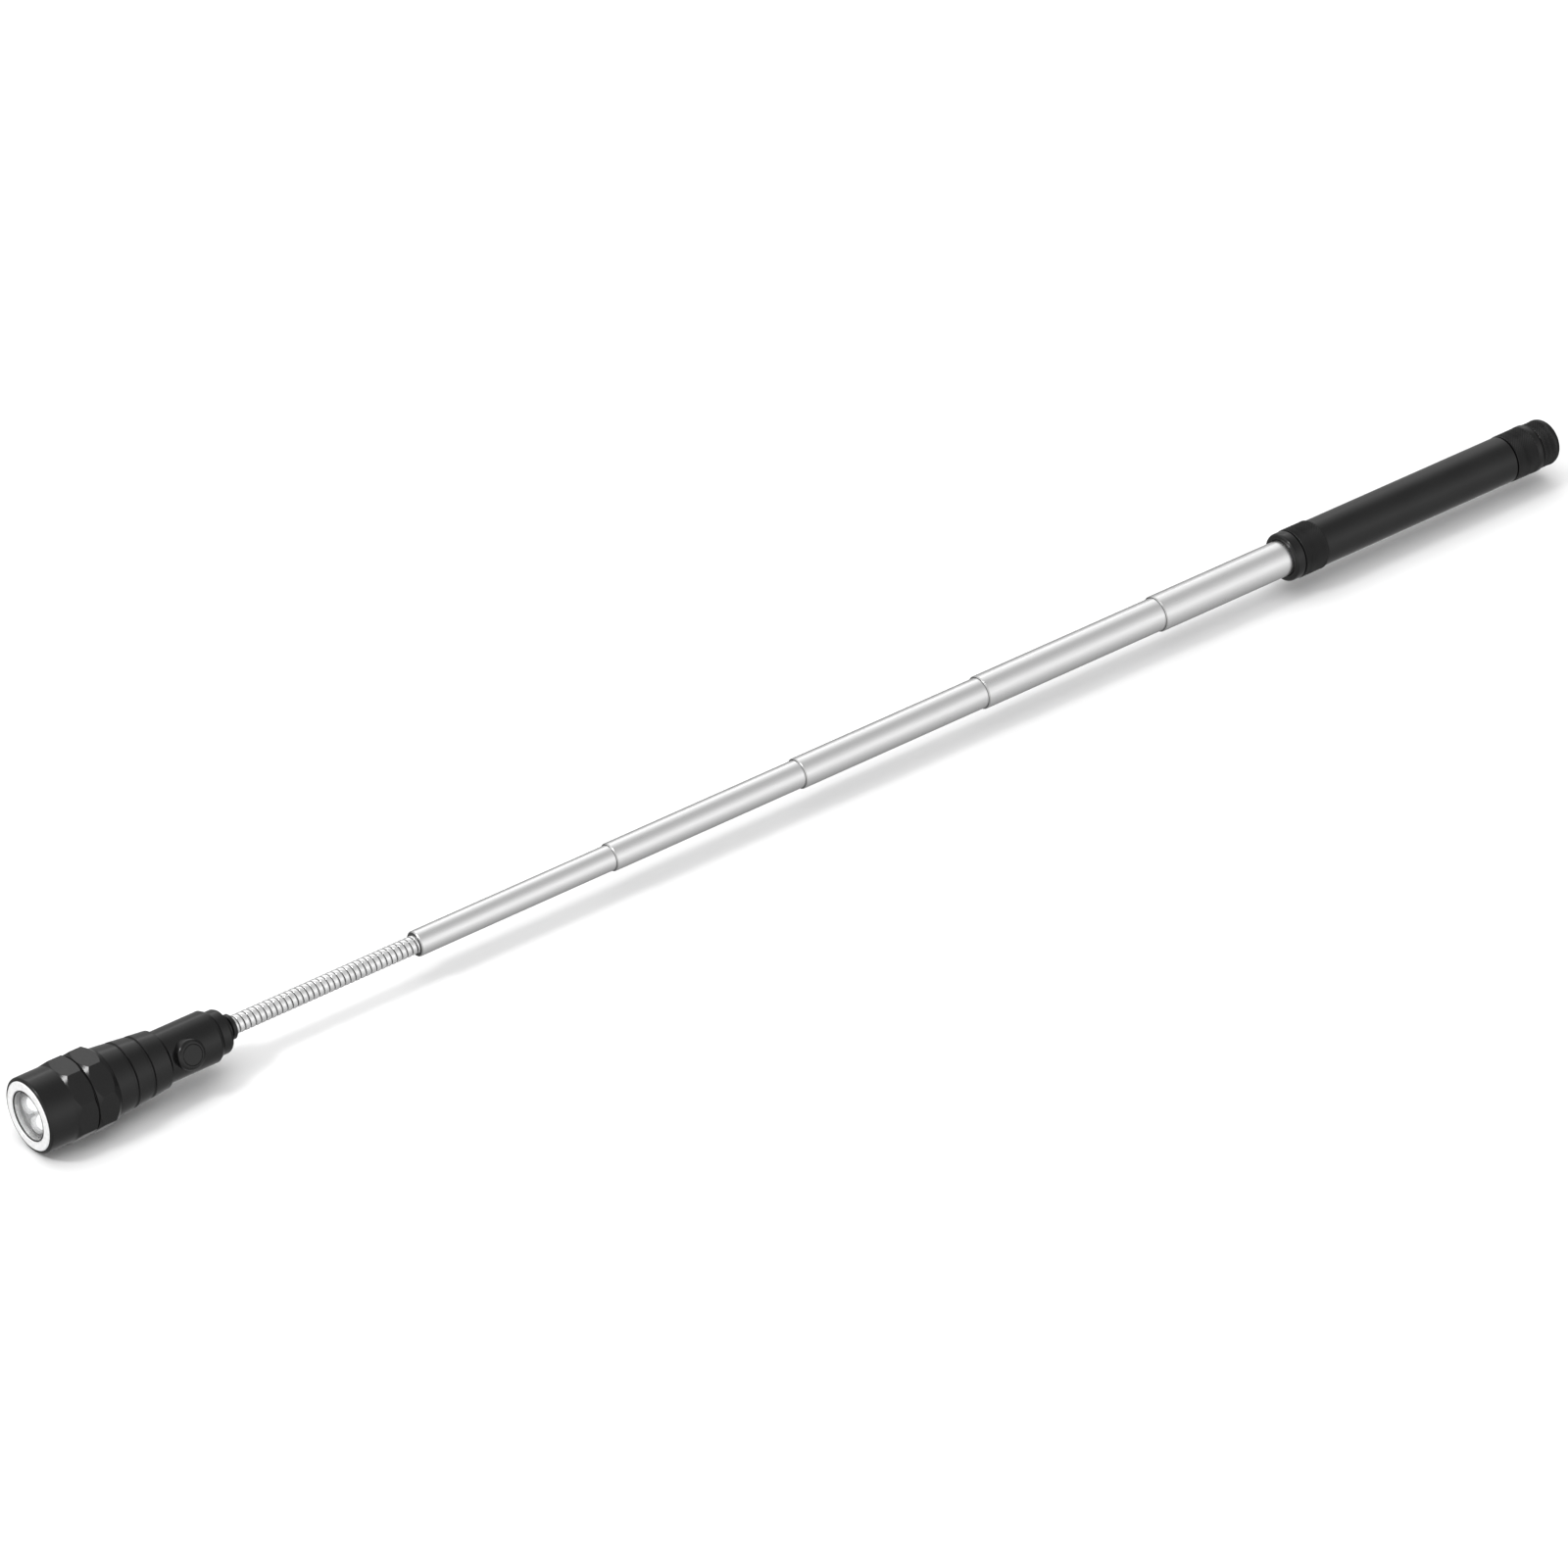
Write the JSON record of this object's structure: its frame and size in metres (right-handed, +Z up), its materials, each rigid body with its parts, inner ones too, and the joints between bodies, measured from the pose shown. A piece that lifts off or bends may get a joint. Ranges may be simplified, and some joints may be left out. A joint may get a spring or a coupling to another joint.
{
  "type": "magnetic pickup tool",
  "caption": "Telescopic pickup torch with a ring magnet head, bendable neck, nested chrome tubes and a knurled handle.",
  "frame": {"origin": "bottom centre of the drawn-out tool's bounding box, on the surface that the head's octagonal rings rest on", "axes": "+X along the tool from the head towards the handle, +Z up, push button on the -Y side"},
  "size_m": [0.56, 0.0222, 0.0223],
  "materials": {
    "black_anodised": "satin black anodised",
    "nickel_magnet": "bright nickel plate",
    "clear_lens": "clear moulded",
    "mirror_cup": "mirror",
    "led_epoxy": "clear epoxy over a yellow die",
    "circuit_board": "solder mask",
    "seal_rubber": "matte",
    "spring_steel": "bright wire",
    "cell_steel": "bright can",
    "inner_plastic": "natural nylon",
    "brass_parts": "machined",
    "polished_chrome": "satin to polished chrome plate",
    "neck_steel": "chrome plated wound steel"
  },
  "bodies": {
    "handle": {"handle_tube": "black_anodised", "handle_nose": "black_anodised", "guide_bush": "inner_plastic", "tail_band": "black_anodised", "end_cap": "black_anodised", "tail_magnet": "nickel_magnet"},
    "tube_1_set": {"tube_1": "polished_chrome", "tube_1_stop": "brass_parts"},
    "tube_2_set": {"tube_2": "polished_chrome", "tube_2_stop": "brass_parts", "tube_2_shim": "brass_parts"},
    "tube_3_set": {"tube_3": "polished_chrome", "tube_3_stop": "brass_parts", "tube_3_shim": "brass_parts"},
    "tube_4_set": {"tube_4": "polished_chrome", "tube_4_stop": "brass_parts", "tube_4_shim": "brass_parts"},
    "tube_5_set": {"tube_5": "polished_chrome", "tube_5_stop": "brass_parts", "tube_5_shim": "brass_parts"},
    "neck_slider": {"neck_clip": "inner_plastic"},
    "neck_rear": {"neck_plug": "neck_steel"},
    "segment_5": {"neck_segment_5": "neck_steel"},
    "segment_4": {"neck_segment_4": "neck_steel"},
    "segment_3": {"neck_segment_3": "neck_steel"},
    "segment_2": {"neck_segment_2": "neck_steel"},
    "segment_1": {"neck_segment_1": "neck_steel"},
    "torch": {"torch_body": "black_anodised", "rear_collar": "black_anodised", "neck_nut": "black_anodised", "neck_front_ferrule": "neck_steel", "battery_1": "cell_steel", "battery_2": "cell_steel", "battery_3": "cell_steel", "battery_4": "cell_steel", "battery_sleeve": "inner_plastic", "battery_contact": "brass_parts", "switch_housing": "inner_plastic", "switch_ring": "black_anodised", "switch_spring": "spring_steel"},
    "button": {"switch_button": "black_anodised"},
    "bezel_slider": {"bezel_seal": "seal_rubber"},
    "bezel": {"head_bezel": "black_anodised", "ring_magnet": "nickel_magnet", "lens": "clear_lens", "lens_seal": "seal_rubber", "reflector": "mirror_cup", "led_1": "led_epoxy", "led_2": "led_epoxy", "led_3": "led_epoxy", "led_board": "circuit_board", "module_retainer": "brass_parts", "battery_spring": "spring_steel"}
  },
  "joints": [
    {"name": "tube_1_draw", "type": "slide", "parent": "handle", "child": "tube_1_set", "axis": [-1, 0, 0], "range_m": [-0.0495, 0]},
    {"name": "tube_2_draw", "type": "slide", "parent": "tube_1_set", "child": "tube_2_set", "axis": [-1, 0, 0], "range_m": [-0.067, 0]},
    {"name": "tube_3_draw", "type": "slide", "parent": "tube_2_set", "child": "tube_3_set", "axis": [-1, 0, 0], "range_m": [-0.067, 0]},
    {"name": "tube_4_draw", "type": "slide", "parent": "tube_3_set", "child": "tube_4_set", "axis": [-1, 0, 0], "range_m": [-0.067, 0]},
    {"name": "tube_5_draw", "type": "slide", "parent": "tube_4_set", "child": "tube_5_set", "axis": [-1, 0, 0], "range_m": [-0.067, 0]},
    {"name": "neck_draw", "type": "slide", "parent": "tube_5_set", "child": "neck_slider", "axis": [-1, 0, 0], "range_m": [-0.0615, 0]},
    {"name": "neck_spin", "type": "hinge", "parent": "neck_slider", "child": "neck_rear", "pos_m": [-0.142, 0, 0.01115], "axis": [1, 0, 0], "continuous": true},
    {"name": "neck_bend_1", "type": "hinge", "parent": "neck_rear", "child": "segment_5", "pos_m": [-0.15464, 0, 0.01115], "axis": [0, 1, 0], "range_deg": [0, 20]},
    {"name": "neck_bend_2", "type": "hinge", "parent": "segment_5", "child": "segment_4", "pos_m": [-0.16527, 0, 0.01115], "axis": [0, 1, 0], "range_deg": [0, 20]},
    {"name": "neck_bend_3", "type": "hinge", "parent": "segment_4", "child": "segment_3", "pos_m": [-0.1759, 0, 0.01115], "axis": [0, 1, 0], "range_deg": [0, 20]},
    {"name": "neck_bend_4", "type": "hinge", "parent": "segment_3", "child": "segment_2", "pos_m": [-0.18653, 0, 0.01115], "axis": [0, 1, 0], "range_deg": [0, 20]},
    {"name": "neck_bend_5", "type": "hinge", "parent": "segment_2", "child": "segment_1", "pos_m": [-0.19716, 0, 0.01115], "axis": [0, 1, 0], "range_deg": [0, 20]},
    {"name": "neck_bend_6", "type": "hinge", "parent": "segment_1", "child": "torch", "pos_m": [-0.20779, 0, 0.01115], "axis": [0, 1, 0], "range_deg": [0, 20]},
    {"name": "button_press", "type": "slide", "parent": "torch", "child": "button", "axis": [0, 0.9239, -0.3827], "range_m": [0, 0.0008], "stiffness_N_per_m": 800, "springref_m": -0.0008, "deforming": ["switch_spring"]},
    {"name": "bezel_travel", "type": "slide", "parent": "torch", "child": "bezel_slider", "axis": [-1, 0, 0], "range_m": [-0.00002, 0.00753]},
    {"name": "bezel_turn", "type": "hinge", "parent": "bezel_slider", "child": "bezel", "pos_m": [-0.2601, 0, 0.01115], "axis": [-1, 0, 0], "range_deg": [0, 2160]}
  ],
  "couplings": [
    {"joint": "bezel_travel", "follows": "bezel_turn", "m_per_rad": 0.00019894}
  ]
}
